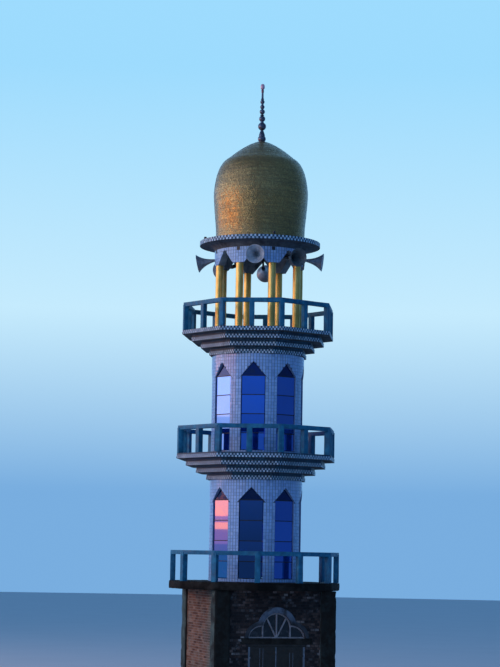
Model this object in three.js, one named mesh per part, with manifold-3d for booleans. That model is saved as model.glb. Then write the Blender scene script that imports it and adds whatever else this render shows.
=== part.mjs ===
// A minaret: a square brick base with a double door, a railed terrace, two round glazed storeys
// that each carry an eight-sided balcony on stepped corbels, an open lantern of eight columns
// with horn loudspeakers, and a dome with a finial.
// Millimetres, +Z up. The origin is on the ground, on the axis of the round shaft. The door
// faces -Y, and the corners of both balconies lie on the X and Y axes and half way between.
import * as THREE from 'three';
import { mergeVertices } from 'three/addons/utils/BufferGeometryUtils.js';
import Module from 'manifold-3d';

const wasm = await Module();
wasm.setup();

// Square base
const baseSide = 3550;
const baseShift = 105;            // the base stands this far off the shaft's axis, along +X
const floorTop = 100;
const baseTop = 3590;
const cornerColumn = 450;
const wallSetback = 60;           // the brick panels lie behind the faces of the corner columns
const baseWall = 230;

// Doorway, which stands this far right of the middle of the base
const doorShift = 55;
const doorHalf = 833;
const lintelBottom = 2106;
const lintelTop = 2271;
const lintelBearing = 200;
const archRadius = 422;
const archTop = 2975;
const lobeWidth = 411;
const lobeHeight = 360;
const surroundWidth = 160;        // of the plaster band round the arch
const surroundLobe = 112;         // and round the lobes
const surroundDepth = 25;
const jamb = 60;
const jambDepth = 100;
const frameSetback = 10;          // the door frame lies behind the brick face
const fanBar = 40;
const fanSetback = 50;
const fanGlass = 6;
const fanHub = 65;
const fanSpoke = 700;             // from the hub to past the arch
const fanSpokeTilt = 27;          // degrees from upright

// Door leaves and hinges
const leafGap = 5;                // to the frame
const meetingGap = 6;             // between the two leaves
const leafThickness = 45;
const leafFloorGap = 10;
const leafStile = 70;
const leafMullion = 90;
const leafRail = 90;
const leafMidRail = 1800;
const panelRecess = 10;
const hingeRadius = 11;
const hingeLength = 50;
const hingeStrap = 10;
const hingeReach = 80;
const hingeGap = 0.5;
const hingeHeights = [420, 1760];
const hingeFacets = 12;

// Terrace, on twelve sides
const terraceRadius = 2460;
const terraceTop = 3810;
const terraceSides = 12;

// Round shaft
const shaftRadius = 1335;
const shaftWall = 150;
const shaftFacets = 96;
const windowCount = 8;
const windowHalf = 345;
const windowSill = 90;
const glassThickness = 8;
const glassMargin = 80;           // the sheet of glass reaches this far over the window heads

// Storeys: floor, window shoulder, window apex and foot of the corbels above
const lowerStorey = { floor: terraceTop, shoulder: 6115, apex: 6480, top: 6700 };
const upperStorey = { floor: 7430, shoulder: 9650, apex: 10050, top: 10284 };

// Balconies on eight sides: corner radii of the rim and of the three corbel steps under it
const lowerBalcony = { radii: [2390, 2110, 1805, 1495], step: 194, floor: upperStorey.floor };
const upperBalcony = { radii: [2295, 2013, 1730, 1475], step: 192, floor: 10975 };
const bandHeight = 112;           // tile band along the foot of each step
const bandDepth = 20;             // the band stands this far out of the plain riser over it

// Railings: corner radius of the post centres, post width, height
const terraceRailing = { radius: 2350, post: 150, height: 866 };
const lowerRailing = { radius: 2285, post: 150, height: 790 };
const upperRailing = { radius: 2205, post: 132, height: 803 };
const railDepth = 118;

// Lantern
const columnRadius = 110;
const columnCircle = 1215;
const columnFacets = 20;
const ringBottom = 12910;
const ringTop = 13370;
const ringOuter = 1315;
const ringInner = 1090;
const archHalf = 325;
const archApex = 13310;

// Dome slab, dome and finial
const slabRadius = 1757;
const slabSoffit = 13520;
const slabTop = 13645;
const coveWidth = 190;            // the slab's underside curves down to the ring beam
const coveSteps = 4;
const slabFacets = 64;
const domeWall = 110;
const domeFacets = 40;
// radius and height over the slab, from the foot to the flat that carries the finial
const domeOutline = [
  [1300, 0], [1298, 370], [1345, 900], [1378, 1380], [1352, 1720], [1270, 2080],
  [1130, 2350], [930, 2520], [640, 2745], [345, 2925], [130, 3015],
];
const domeSteps = 16;
// radius and height over the dome's crown
const finialFoot = [
  [0, 0], [90, 0], [94, 30], [118, 75], [118, 125], [90, 158], [90, 195], [70, 275], [42, 350],
];
// radius, height of the centre over the ground, and radius of the stem where it meets the ball
const finialBalls = [[118, 17133, 45], [86, 17361, 36], [70, 17572, 26], [56, 17716, 24], [56, 17868, 20]];
const finialDisc = [[26, 17450], [62, 17462], [62, 17476], [26, 17488]];
const finialTop = 18410;
const finialLamp = [
  [34, 17940], [20, 17990], [20, 18140], [38, 18150], [38, 18230], [26, 18242], [50, 18262], [52, 18350],
  [34, finialTop], [0, finialTop],
];
const finialFacets = 12;
const ballSteps = 5;

// Horn loudspeakers: a horn looks out of six of the eight arches
const hornPlaces = {
  // degrees from -Y towards +X, height of the driver's end, and degrees it looks aside and down
  left: { turn: -112.5, height: 13190, aside: 0, down: 11.5 },
  front: { turn: -20.5, height: 13155, aside: -2, down: 7 },
  front_right: { turn: 26, height: 13140, aside: -14, down: 8 },
  right: { turn: 67.5, height: 13180, aside: 0, down: 7.5 },
  back: { turn: 157.5, height: 13075, aside: 0, down: 5 },
  back_left: { turn: 205.5, height: 13080, aside: -5.5, down: 5 },
};
const hornMouth = 262;
const hornLength = 760;
const hornBack = 1080;            // radius of the driver's end
const hornFacets = 16;
const hornSteps = 5;
const hornWall = 8;
const hornThroat = 36;
const hornHeel = 240;             // length over which the bell's narrow end is closed
const driverRadius = 58;
const driverLength = 200;
const strapWidth = 60;
const strapThickness = 8;
const strapTop = 13360;
const contactGap = 0.3;

const deg = Math.PI / 180;
const reach = 400;                // cutters run this far past what they cut

// Colours and finishes
function finish(color, roughness, metalness) {
  return () => new THREE.MeshStandardMaterial({ color, roughness, metalness });
}
const brick = finish(0x8c6a5e, 0.95, 0);
const concrete = finish(0x4d5257, 0.9, 0);
const plaster = finish(0x6d8496, 0.9, 0);
const wallTile = finish(0x9db4e2, 0.3, 0);
const checkerTile = finish(0x8195b4, 0.45, 0);
const tealPaint = finish(0x2f6f8f, 0.6, 0);
const goldTile = finish(0xc58a3a, 0.4, 0.2);
const darkGlass = finish(0x22406e, 0.08, 0);
const doorSteel = finish(0x4c5561, 0.6, 0.4);
const paleSteel = finish(0x93a3b8, 0.5, 0.4);
const hornGrey = finish(0x4a5a70, 0.45, 0.5);
const finialMetal = finish(0x5c5a58, 0.45, 0.7);

// Closed geometry to a solid and back
function solidOf(geometry) {
  const bare = geometry.clone();
  bare.deleteAttribute('normal');
  bare.deleteAttribute('uv');
  const merged = mergeVertices(bare, 1e-3);
  const vertProperties = merged.attributes.position.array;
  const triVerts = new Uint32Array(merged.index.array);
  return new wasm.Manifold(new wasm.Mesh({ numProp: 3, vertProperties, triVerts }));
}

function geometryOf(solid) {
  const made = solid.getMesh();
  const geometry = new THREE.BufferGeometry();
  geometry.setAttribute('position', new THREE.BufferAttribute(made.vertProperties, 3));
  geometry.setIndex(new THREE.BufferAttribute(made.triVerts, 1));
  geometry.computeVertexNormals();
  return geometry;
}

const joined = (solids) => solids.reduce((all, one) => all.add(one));

// Basic shapes, upright
function block(low, high) {
  const size = high.map((value, i) => value - low[i]);
  const geometry = new THREE.BoxGeometry(...size);
  return geometry.translate(...low.map((value, i) => value + size[i] / 2));
}

// a profile of [radius, height] points turned about Z; facet corners start at -Y, plus the turn
function turned(points, facets, turn = 0) {
  const profile = points.map(([radius, height]) => new THREE.Vector2(radius, height));
  const geometry = new THREE.LatheGeometry(profile, facets, turn * deg);
  return geometry.rotateX(Math.PI / 2);
}

function disc(radius, low, high, facets, turn = 0) {
  return turned([[0, low], [radius, low], [radius, high], [0, high]], facets, turn);
}

function tube(outer, inner, low, high, facets, turn = 0) {
  const profile = [[inner, low], [outer, low], [outer, high], [inner, high], [inner, low]];
  return turned(profile, facets, turn);
}

// a shape drawn in X and Z, from the plane y = front back to y = back
function panel(shape, front, back) {
  const geometry = new THREE.ExtrudeGeometry(shape, { depth: back - front, bevelEnabled: false });
  return geometry.rotateX(Math.PI / 2).translate(0, back, 0);
}

function outline(points) {
  return new THREE.Shape(points.map(([x, z]) => new THREE.Vector2(x, z)));
}

function add(group, name, geometry, material) {
  const mesh = new THREE.Mesh(geometry, material());
  mesh.name = name;
  group.add(mesh);
  return mesh;
}

const minaret = new THREE.Group();

// Square base, in a group of its own that stands off the shaft's axis, with the doorway in it
const base = new THREE.Group();
base.position.x = baseShift;
minaret.add(base);
const doorway = new THREE.Group();
doorway.position.x = doorShift;
base.add(doorway);

const half = baseSide / 2;
const inner = half - cornerColumn;
const brickFace = half - wallSetback;
const brickBack = brickFace - baseWall;

add(base, 'base_floor', block([-half, -half, 0], [half, half, floorTop]), concrete);

for (const [side, x] of [['left', -half], ['right', inner]]) {
  for (const [end, y] of [['front', -half], ['back', inner]]) {
    const high = [x + cornerColumn, y + cornerColumn, baseTop];
    add(base, `corner_column_${end}_${side}`, block([x, y, floorTop], high), concrete);
  }
}

const leftWall = block([-brickFace, -inner, floorTop], [-brickBack, inner, baseTop]);
const rightWall = block([brickBack, -inner, floorTop], [brickFace, inner, baseTop]);
const backWall = block([-inner, brickBack, floorTop], [inner, brickFace, baseTop]);
add(base, 'brick_wall_left', leftWall, brick);
add(base, 'brick_wall_right', rightWall, brick);
add(base, 'brick_wall_back', backWall, brick);

// Front wall: two panels beside the doorway, notched for the lintel, and one over it
const bearing = doorHalf + lintelBearing;
const leftPanel = outline([
  [-inner, floorTop], [doorShift - doorHalf, floorTop], [doorShift - doorHalf, lintelBottom],
  [doorShift - bearing, lintelBottom], [doorShift - bearing, lintelTop], [-inner, lintelTop],
]);
const rightPanel = outline([
  [inner, lintelTop], [doorShift + bearing, lintelTop], [doorShift + bearing, lintelBottom],
  [doorShift + doorHalf, lintelBottom], [doorShift + doorHalf, floorTop], [inner, floorTop],
]);
add(base, 'brick_wall_front_left', panel(leftPanel, -brickFace, -brickBack), brick);
add(base, 'brick_wall_front_right', panel(rightPanel, -brickFace, -brickBack), brick);

const lintelLow = [-bearing, -brickFace, lintelBottom];
add(doorway, 'door_lintel', block(lintelLow, [bearing, -brickBack, lintelTop]), concrete);

// the trefoil over the door, grown by a margin: a stilted round arch between two lobes
function trefoil(arch, lobe, front, back) {
  const centre = archTop - archRadius;
  const radius = archRadius + arch;
  const bay = new THREE.Shape();
  bay.moveTo(-radius, lintelTop);
  bay.lineTo(radius, lintelTop);
  bay.lineTo(radius, centre);
  bay.absarc(0, centre, radius, 0, Math.PI);
  const parts = [solidOf(panel(bay, front, back))];
  for (const side of [-1, 1]) {
    const curve = new THREE.Shape();
    curve.absellipse(side * archRadius, lintelTop, lobeWidth + lobe, lobeHeight + lobe, 0, Math.PI);
    parts.push(solidOf(panel(curve, front, back)));
  }
  return joined(parts);
}

const overDoor = solidOf(block([-inner, -brickFace, lintelTop], [inner, -brickBack, baseTop]));
const fanOpening = trefoil(0, 0, -brickFace - reach, -brickBack + reach);
const pierced = overDoor.subtract(fanOpening.translate([doorShift, 0, 0]));
add(base, 'brick_wall_over_door', geometryOf(pierced), brick);

const surroundFace = -brickFace - surroundDepth;
const surround = trefoil(surroundWidth, surroundLobe, surroundFace, -brickFace)
  .subtract(fanOpening);
add(doorway, 'arch_surround', geometryOf(surround), plaster);

// Fanlight: a bar along the arch, a bottom rail, two mullions and three spokes on a hub
const fanFace = -brickFace + fanSetback;
const fanBack = fanFace + fanBar;

function fanStrip(x, length, tilt) {
  const strip = block([-fanBar / 2, fanFace, 0], [fanBar / 2, fanBack, length]);
  return solidOf(strip.rotateY(tilt * deg).translate(x, 0, lintelTop));
}

const fanOutside = trefoil(-contactGap, -contactGap, fanFace, fanBack);
const fanInside = trefoil(-fanBar, -fanBar, fanFace - reach, fanBack + reach);
const railLow = [-doorHalf, fanFace, lintelTop];
const hub = new THREE.CylinderGeometry(fanHub, fanHub, fanBar, columnFacets);
const fanBars = joined([
  fanOutside.subtract(fanInside),
  solidOf(block(railLow, [doorHalf, fanBack, lintelTop + fanBar])),
  solidOf(hub.translate(0, fanFace + fanBar / 2, lintelTop)),
  fanStrip(0, fanSpoke, 0),
  fanStrip(0, fanSpoke, -fanSpokeTilt),
  fanStrip(0, fanSpoke, fanSpokeTilt),
  fanStrip(-archRadius + fanBar / 2, lobeHeight, 0),
  fanStrip(archRadius - fanBar / 2, lobeHeight, 0),
]).intersect(fanOutside);
add(doorway, 'fanlight_frame', geometryOf(fanBars), paleSteel);

const fanPane = trefoil(-fanBar / 4, -fanBar / 4, fanBack, fanBack + fanGlass);
add(doorway, 'fanlight_glass', geometryOf(fanPane), darkGlass);

// Door frame: two jambs under a head, with the lower half of each hinge
const frameFace = -brickFace + frameSetback;
const frameBack = frameFace + jambDepth;
const leafOuter = doorHalf - jamb - leafGap;
const hingeX = doorHalf - jamb - leafGap / 2;
const hingeY = frameFace - hingeRadius - 1;

// half a hinge: a knuckle on the hinge line and a strap beside it, from x to the hinge line
function hingeHalf(side, height, x) {
  const knuckle = new THREE.CylinderGeometry(hingeRadius, hingeRadius, hingeLength, hingeFacets);
  knuckle.rotateX(Math.PI / 2);
  knuckle.translate(side * hingeX, hingeY, height + hingeLength / 2);
  const ends = [side * x, side * hingeX].sort((a, b) => a - b);
  const strapLow = [ends[0], frameFace - hingeStrap, height];
  const strap = block(strapLow, [ends[1], frameFace, height + hingeLength]);
  return solidOf(knuckle).add(solidOf(strap));
}

const frameParts = [
  block([-doorHalf, frameFace, floorTop], [-doorHalf + jamb, frameBack, lintelBottom]),
  block([doorHalf - jamb, frameFace, floorTop], [doorHalf, frameBack, lintelBottom]),
  block([-doorHalf, frameFace, lintelBottom - jamb], [doorHalf, frameBack, lintelBottom]),
].map(solidOf);
for (const side of [-1, 1]) {
  for (const height of hingeHeights) {
    frameParts.push(hingeHalf(side, height - hingeLength - hingeGap, doorHalf - jamb / 4));
  }
}
add(doorway, 'door_frame', geometryOf(joined(frameParts)), paleSteel);

// Door leaves: stiles, a middle mullion and three rails around four sunk panels on each face
function doorLeaf(side) {
  const leafTop = lintelBottom - jamb - leafGap - 1;
  const leafBottom = floorTop + leafFloorGap;
  const back = frameFace + leafThickness;
  const span = (from, to) => [side * from, side * to].sort((a, b) => a - b);
  const [low, high] = span(meetingGap / 2, leafOuter);
  let leaf = solidOf(block([low, frameFace, leafBottom], [high, back, leafTop]));
  const middle = (meetingGap / 2 + leafOuter) / 2;
  const columns = [
    span(meetingGap / 2 + leafStile, middle - leafMullion / 2),
    span(middle + leafMullion / 2, leafOuter - leafStile),
  ];
  const rows = [
    [leafBottom + leafRail, leafMidRail - leafRail / 2],
    [leafMidRail + leafRail / 2, leafTop - leafRail],
  ];
  for (const [left, right] of columns) {
    for (const [bottom, top] of rows) {
      for (const [front, rear] of [[frameFace - reach, frameFace + panelRecess],
        [back - panelRecess, back + reach]]) {
        leaf = leaf.subtract(solidOf(block([left, front, bottom], [right, rear, top])));
      }
    }
  }
  const hinges = hingeHeights.map((height) => hingeHalf(side, height, hingeX - hingeReach));
  return geometryOf(joined([leaf, ...hinges]));
}

add(doorway, 'door_leaf_left', doorLeaf(-1), doorSteel);
add(doorway, 'door_leaf_right', doorLeaf(1), doorSteel);

// Terrace slab, with a corner over each corner of the base
const terraceTurn = 180 / terraceSides;
const terrace = disc(terraceRadius, baseTop, terraceTop, terraceSides, terraceTurn);
add(minaret, 'terrace_slab', terrace, concrete);

// A railing on square posts, closed round the tower, with a post at each corner and, where
// asked, one half way between
function railing(name, { radius, post, height }, floor, sides, turn, midPosts) {
  const width = post / 2 / Math.cos(Math.PI / sides);
  const top = floor + height;
  const rail = tube(radius + width, radius - width, top - railDepth, top, sides, turn);
  const parts = [solidOf(rail)];
  const count = midPosts ? 2 * sides : sides;
  for (let i = 0; i < count; i += 1) {
    const middle = midPosts && i % 2 === 1;
    const distance = middle ? radius * Math.cos(Math.PI / sides) : radius;
    const shape = block([-post / 2, -post / 2, floor], [post / 2, post / 2, top - railDepth / 2]);
    shape.translate(0, -distance, 0).rotateZ(turn * deg + i * 2 * Math.PI / count);
    parts.push(solidOf(shape));
  }
  add(minaret, name, geometryOf(joined(parts)), tealPaint);
}

railing('terrace_railing', terraceRailing, terraceTop, terraceSides, terraceTurn, false);

// A round storey: four quarter walls with two pointed windows each, and a sheet of glass inside
const shaftInner = shaftRadius - shaftWall;
const quarters = { back_right: [1, 1], back_left: [-1, 1], front_left: [-1, -1], front_right: [1, -1] };

function windowCutters({ floor, shoulder, apex }) {
  const shape = outline([
    [-windowHalf, floor + windowSill], [windowHalf, floor + windowSill],
    [windowHalf, shoulder], [0, apex], [-windowHalf, shoulder],
  ]);
  const cutters = [];
  for (let i = 0; i < windowCount; i += 1) {
    const cutter = panel(shape, -shaftRadius - reach, -shaftInner + reach);
    cutters.push(solidOf(cutter.rotateZ((i + 0.5) * 2 * Math.PI / windowCount)));
  }
  return joined(cutters);
}

function storey(prefix, levels) {
  const { floor, apex, top } = levels;
  const wall = solidOf(tube(shaftRadius, shaftInner, floor, top, shaftFacets));
  const openWall = wall.subtract(windowCutters(levels));
  for (const [place, [x, y]] of Object.entries(quarters)) {
    const far = shaftRadius + reach;
    const low = [Math.min(0, x * far), Math.min(0, y * far), floor - reach];
    const high = [Math.max(0, x * far), Math.max(0, y * far), top + reach];
    const quarter = openWall.intersect(solidOf(block(low, high)));
    add(minaret, `${prefix}_wall_${place}`, geometryOf(quarter), wallTile);
  }
  const outside = shaftInner - contactGap;
  const sheet = tube(outside, outside - glassThickness, floor, apex + glassMargin, shaftFacets / 3);
  add(minaret, `${prefix}_window_glass`, sheet, darkGlass);
}

// A balcony: a rim slab over three corbel steps, hollow over the storey below
function balcony(name, { radii, step, floor }, foot) {
  const bore = shaftInner / Math.cos(Math.PI / 8);
  const profile = [[bore, foot]];
  const steps = [...radii].reverse();
  steps.forEach((radius, i) => {
    const bottom = foot + i * step;
    const top = i < steps.length - 1 ? bottom + step : floor;
    profile.push([radius, bottom], [radius, bottom + bandHeight]);
    profile.push([radius - bandDepth, bottom + bandHeight], [radius - bandDepth, top]);
  });
  const soffit = foot + 3 * step;
  profile.push([0, floor], [0, soffit], [bore, soffit], [bore, foot]);
  add(minaret, name, turned(profile, 8), checkerTile);
}

storey('lower', lowerStorey);
balcony('lower_balcony', lowerBalcony, lowerStorey.top);
railing('lower_railing', lowerRailing, lowerBalcony.floor, 8, 0, true);
storey('upper', upperStorey);
balcony('upper_balcony', upperBalcony, upperStorey.top);
railing('upper_railing', upperRailing, upperBalcony.floor, 8, 0, true);

// Lantern: eight columns under a ring beam with eight pointed arches
const compass = ['front', 'front_right', 'right', 'back_right', 'back', 'back_left', 'left', 'front_left'];
compass.forEach((place, i) => {
  const column = disc(columnRadius, upperBalcony.floor, ringBottom, columnFacets);
  column.translate(0, -columnCircle, 0).rotateZ(i * Math.PI / 4);
  add(minaret, `column_${place}`, column, goldTile);
});

const archShape = outline([
  [-archHalf, ringBottom - reach], [archHalf, ringBottom - reach],
  [archHalf, ringBottom], [0, archApex], [-archHalf, ringBottom],
]);
let ring = solidOf(tube(ringOuter, ringInner, ringBottom, ringTop, shaftFacets));
for (let i = 0; i < 8; i += 1) {
  const arch = panel(archShape, -ringOuter - reach, -ringInner + reach);
  ring = ring.subtract(solidOf(arch.rotateZ((i + 0.5) * Math.PI / 4)));
}
add(minaret, 'ring_beam', geometryOf(ring), wallTile);

// Dome slab: its underside curves down to the ring beam in a hollow cove
const cove = [];
for (let i = 0; i <= coveSteps; i += 1) {
  const angle = i / coveSteps * Math.PI / 2;
  const radius = ringOuter + coveWidth * (1 - Math.cos(angle));
  cove.push([radius, ringTop + (slabSoffit - ringTop) * Math.sin(angle)]);
}
const slabProfile = [[0, ringTop], ...cove, [slabRadius, slabSoffit], [slabRadius, slabTop], [0, slabTop]];
add(minaret, 'dome_slab', turned(slabProfile, slabFacets), checkerTile);

// Dome: a shell that is closed below by the slab
const domeLine = new THREE.SplineCurve(domeOutline.map(([r, h]) => new THREE.Vector2(r, h)));
const domeOutside = domeLine.getSpacedPoints(domeSteps).map((p) => [p.x, slabTop + p.y]);
const domeFoot = [domeOutside[0][0] - domeWall, slabTop];
const domeCrown = domeOutside[domeSteps][1];
const domeInside = domeOutside.slice(0, -1).reverse().filter((_, i) => i % 2 === 1)
  .map(([r, z]) => [r - domeWall, slabTop + (z - slabTop) * (1 - domeWall / (domeCrown - slabTop))])
  .filter(([r]) => r > 0);
const domeProfile = [
  domeFoot, ...domeOutside, [0, domeCrown], [0, domeCrown - domeWall], ...domeInside, domeFoot,
];
add(minaret, 'dome', turned(domeProfile, domeFacets), goldTile);

// Finial: a collar and a cone, two large balls, a disc, three small balls and a lamp on a stem
function ball(radius, height, neck) {
  const points = [];
  const start = Math.asin(neck / radius);
  for (let i = 0; i <= ballSteps; i += 1) {
    const angle = start + (Math.PI - 2 * start) * i / ballSteps;
    points.push([radius * Math.sin(angle), height - radius * Math.cos(angle)]);
  }
  return points;
}

const [ballA, ballB, ...upperBalls] = finialBalls.map((sizes) => ball(...sizes));
const finialProfile = [
  ...finialFoot.map(([radius, height]) => [radius, domeCrown + height]),
  ...ballA, ...ballB, ...finialDisc, ...upperBalls.flat(), ...finialLamp,
];
add(minaret, 'finial', turned(finialProfile, finialFacets), finialMetal);

// Horn loudspeakers: a driver, a bell with a hollow mouth, and a strap to the ring beam's inner face
function hornBody() {
  const bell = [];
  for (let i = 0; i <= hornSteps; i += 1) {
    const share = i / hornSteps;
    bell.push([hornThroat * (hornMouth / hornThroat) ** share, hornHeel + (hornLength - hornHeel) * share]);
  }
  const hollow = bell.slice(1).map(([radius, along]) => [radius - hornWall, along]).reverse();
  const profile = [
    [0, 0], [driverRadius, 0], [driverRadius, driverLength], ...bell, ...hollow, [0, bell[1][1]],
  ];
  return turned(profile, hornFacets);
}

function horn({ turn, height, aside, down }) {
  const body = hornBody().rotateX((90 + down) * deg).rotateZ(aside * deg);
  body.translate(0, -hornBack, height);
  const inside = ringInner * Math.cos(Math.PI / shaftFacets);
  const strapFront = contactGap - Math.sqrt(inside ** 2 - (strapWidth / 2) ** 2);
  const strapLow = [-strapWidth / 2, strapFront, height - driverRadius / 2];
  const strap = block(strapLow, [strapWidth / 2, strapFront + strapThickness, strapTop]);
  return geometryOf(solidOf(body).add(solidOf(strap))).rotateZ(turn * deg);
}

for (const [place, sizes] of Object.entries(hornPlaces)) {
  add(minaret, `horn_${place}`, horn(sizes), hornGrey);
}

export default minaret;
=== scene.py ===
import math
import random

import bmesh
import bpy
from mathutils import Matrix, Vector, noise


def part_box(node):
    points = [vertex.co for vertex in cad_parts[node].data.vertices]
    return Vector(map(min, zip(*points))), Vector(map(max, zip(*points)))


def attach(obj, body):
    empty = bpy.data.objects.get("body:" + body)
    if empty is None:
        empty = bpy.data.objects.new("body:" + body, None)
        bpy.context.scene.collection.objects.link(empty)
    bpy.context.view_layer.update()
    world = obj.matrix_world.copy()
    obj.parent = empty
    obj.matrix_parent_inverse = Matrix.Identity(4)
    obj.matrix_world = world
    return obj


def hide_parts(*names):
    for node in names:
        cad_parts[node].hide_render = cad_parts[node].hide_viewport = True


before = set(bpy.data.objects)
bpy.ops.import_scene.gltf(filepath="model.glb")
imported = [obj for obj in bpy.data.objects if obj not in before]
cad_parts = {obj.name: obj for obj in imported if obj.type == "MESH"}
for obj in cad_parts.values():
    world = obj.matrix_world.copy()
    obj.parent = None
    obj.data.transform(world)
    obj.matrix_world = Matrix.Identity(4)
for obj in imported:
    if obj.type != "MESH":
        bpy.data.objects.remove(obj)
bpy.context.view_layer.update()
scene = bpy.context.scene
dice = random.Random(11)
up = Vector((0, 0, 1))
circle = 2 * math.pi


def aroundX(angle):
    return Matrix.Rotation(angle, 4, "X")


def aroundZ(angle):
    return Matrix.Rotation(angle, 4, "Z")


def onCircle(radius, angle, height):  # angles run from the door side, -Y, towards +X
    return Vector((radius * math.sin(angle), -radius * math.cos(angle), height))


def addObject(name, data):
    thing = bpy.data.objects.new(name, data)
    scene.collection.objects.link(thing)
    return thing


# Camera: a long lens from the left of the door, level with the terrace, tilted up
shot = {
    "distance": 57.5,
    "height": 4.63,
    "azimuth": -17.0,
    "lens": 107.1,
    "lookLeft": 0.248,
    "lookUp": 6.307,
    "roll": 1.0,
    "reach": 500,
}


def placeCamera():
    turn, aside, tilt, roll = (math.radians(shot[key]) for key in ("azimuth", "lookLeft", "lookUp", "roll"))
    data = bpy.data.cameras.new("camera")
    data.lens = shot["lens"]
    data.clip_end = shot["reach"]
    camera = addObject("camera", data)
    stand = Matrix.Translation(onCircle(shot["distance"], turn, shot["height"]))
    camera.matrix_world = stand @ aroundZ(turn + aside) @ aroundX(math.pi / 2 + tilt) @ aroundZ(roll)
    scene.camera = camera


placeCamera()
print("camera placed")


# Small helpers for nodes
def put(tree, kind, sockets=None, **settings):  # sockets take a value or a link
    node = tree.nodes.new("ShaderNode" + kind)
    for key, value in settings.items():
        setattr(node, key, value)
    for key, value in (sockets or {}).items():
        if isinstance(value, bpy.types.NodeSocket):
            tree.links.new(value, node.inputs[key])
        else:
            node.inputs[key].default_value = value
    return node


def mixColors(tree, factor, first, second):
    return put(tree, "Mix", {0: factor, 6: first, 7: second}, data_type="RGBA").outputs[2]


def times(tree, value, *factors):
    for factor in factors:
        value = put(tree, "Math", {0: value, 1: factor}, operation="MULTIPLY").outputs[0]
    return value


def plus(tree, first, second, clamp=False):
    return put(tree, "Math", {0: first, 1: second}, operation="ADD", use_clamp=clamp).outputs[0]


def remap(tree, value, low, high, newLow, newHigh):
    sockets = {"Value": value, "From Min": low, "From Max": high, "To Min": newLow, "To Max": newHigh}
    return put(tree, "MapRange", sockets).outputs[0]


def objectPlace(tree):
    return put(tree, "TexCoord").outputs["Object"]


def along(tree, vector, axis):
    return put(tree, "SeparateXYZ", {0: vector}).outputs[axis]


def clouds(tree, place, scale, detail, roughness=0.5):
    sockets = {"Vector": place, "Scale": scale, "Detail": detail, "Roughness": roughness}
    return put(tree, "TexNoise", sockets).outputs[0]


def ramp(tree, factor, stops):
    node = put(tree, "ValToRGB", {"Fac": factor})
    elements = node.color_ramp.elements
    while len(elements) < len(stops):
        elements.new(0.5)
    for element, (position, color) in zip(elements, stops):
        element.position = position
        element.color = (*color, 1)
    return node.outputs["Color"]


def shaderGroup(name, inputs, outputs, build):
    tree = bpy.data.node_groups.new(name, "ShaderNodeTree")
    for label, value in inputs.items():
        tree.interface.new_socket(label, in_out="INPUT", socket_type="NodeSocketFloat").default_value = value
    for label in outputs:
        tree.interface.new_socket(label, in_out="OUTPUT", socket_type="NodeSocketFloat")
    start = tree.nodes.new("NodeGroupInput")
    end = tree.nodes.new("NodeGroupOutput")
    for label, socket in build(tree, start.outputs).items():
        tree.links.new(socket, end.inputs[label])
    return tree


def effect(tree, group, *values):  # places a shader group, with its inputs in order
    return put(tree, "Group", dict(enumerate(values)), node_tree=group).outputs


# Shared effects
def buildStreaks(tree, inputs):  # rain stains, stretched downwards, with a softer cloud over them
    place = objectPlace(tree)
    long = put(tree, "Mapping", {"Vector": place, "Scale": (1, 1, 0.1)}).outputs[0]
    runs = remap(tree, clouds(tree, long, inputs["Scale"], 5.0, 0.6), 0.46, 0.7, 0.0, 1.0)
    cloud = remap(tree, clouds(tree, place, 1.3, 3.0), 0.38, 0.62, 0.15, 1.0)
    return {"Mask": times(tree, runs, cloud, inputs["Amount"])}


def buildPatches(tree, inputs):  # cloudy patches with ragged edges
    cloud = clouds(tree, objectPlace(tree), inputs["Scale"], 8.0, 0.62)
    low, high = (plus(tree, inputs["Level"], edge) for edge in (-0.06, 0.06))
    return {"Mask": remap(tree, cloud, low, high, 0.0, 1.0)}


def buildGrain(tree, inputs):  # fine and coarse unevenness, as a height and as a value
    place = objectPlace(tree)
    coarse = clouds(tree, place, inputs["Coarse"], 3.0)
    return {"Height": plus(tree, clouds(tree, place, inputs["Fine"], 6.0, 0.7), coarse), "Value": coarse}


def buildDust(tree, inputs):  # what settles on faces that look up
    facing = along(tree, put(tree, "NewGeometry").outputs["Normal"], "Z")
    cloud = remap(tree, clouds(tree, objectPlace(tree), 9.0, 6.0), 0.3, 0.6, 0.3, 1.0)
    return {"Mask": times(tree, remap(tree, facing, 0.35, 0.9, 0.0, 1.0), cloud, inputs["Amount"])}


def buildStreetSootAndShade(tree, inputs):  # the side with the door is blackened, soot and painted shade together, up to a ragged edge
    facing = along(tree, put(tree, "NewGeometry").outputs["Normal"], "Y")
    cloud = remap(tree, clouds(tree, objectPlace(tree), 5.0, 6.0, 0.65), 0.25, 0.55, 0.6, 1.0)
    return {"Mask": times(tree, remap(tree, facing, -0.2, -0.7, 0.0, 1.0), cloud, inputs["Amount"])}


def buildCourses(tree, inputs):  # thin level bands, as pieces are laid row by row
    flat = put(tree, "Mapping", {"Vector": objectPlace(tree), "Scale": (0.9, 0.9, 16.0)}).outputs[0]
    band = remap(tree, clouds(tree, flat, inputs["Scale"], 3.0), 0.35, 0.65, 0.0, 1.0)
    return {"Value": times(tree, band, inputs["Amount"])}


def buildPieceTint(tree, inputs):  # the number that each tile, brick or chip carries, with a slow drift
    own = put(tree, "Attribute", attribute_name="tint").outputs["Fac"]
    drift = plus(tree, clouds(tree, objectPlace(tree), inputs["Scale"], 4.0), -0.5)
    return {"Tint": plus(tree, own, times(tree, drift, inputs["Drift"]), clamp=True)}


def buildSmears(tree, inputs):  # patches on the parts that lie near the street
    near = remap(tree, along(tree, objectPlace(tree), "Y"), -0.6, -1.15, 0.0, 1.0)
    return {"Mask": times(tree, near, effect(tree, patches, inputs["Scale"], inputs["Level"])[0])}


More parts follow.
